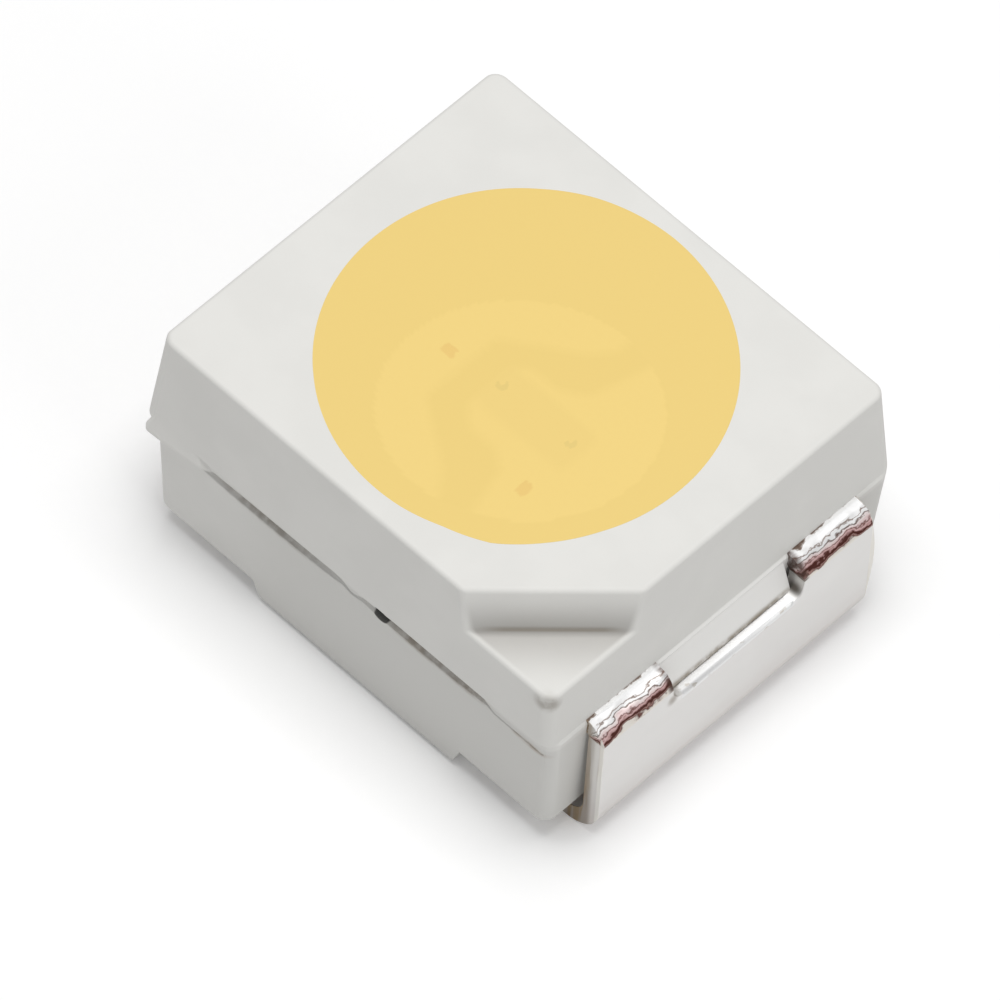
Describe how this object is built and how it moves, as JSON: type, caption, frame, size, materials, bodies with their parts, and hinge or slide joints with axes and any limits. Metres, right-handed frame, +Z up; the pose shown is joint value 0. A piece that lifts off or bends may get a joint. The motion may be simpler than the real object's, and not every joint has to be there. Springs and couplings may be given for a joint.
{
  "type": "surface-mount light-emitting diode",
  "caption": "White moulded surface-mount LED package with a round yellow phosphor window, a cut cathode corner and solder leads bent down and under at both ends.",
  "frame": {"origin": "middle of the board under the feet, at the bottom of the bounding box", "axes": "+X along the leads towards the cathode, +Y across the leads away from the cut corner, +Z up from the board, the way the light goes"},
  "size_m": [0.0036, 0.0028, 0.0018],
  "materials": {
    "white_housing": "matt mouldings of white glass-filled polyamide",
    "anode_silver": "matt silver plating on copper alloy",
    "cathode_silver": "matt silver plating on copper alloy",
    "chip_crystal": "polished sapphire with metal bond pads",
    "die_glue": "clear to white silicone glue",
    "gold_wire": "drawn gold",
    "yellow_phosphor": "smooth silicone filled with yellow phosphor powder"
  },
  "bodies": {
    "root": {"housing": "white_housing", "anode_lead": "anode_silver", "cathode_lead": "cathode_silver", "led_chip": "chip_crystal", "die_attach_glue": "die_glue", "anode_bond_wire": "gold_wire", "cathode_bond_wire": "gold_wire", "phosphor_filling": "yellow_phosphor"}
  },
  "joints": []
}
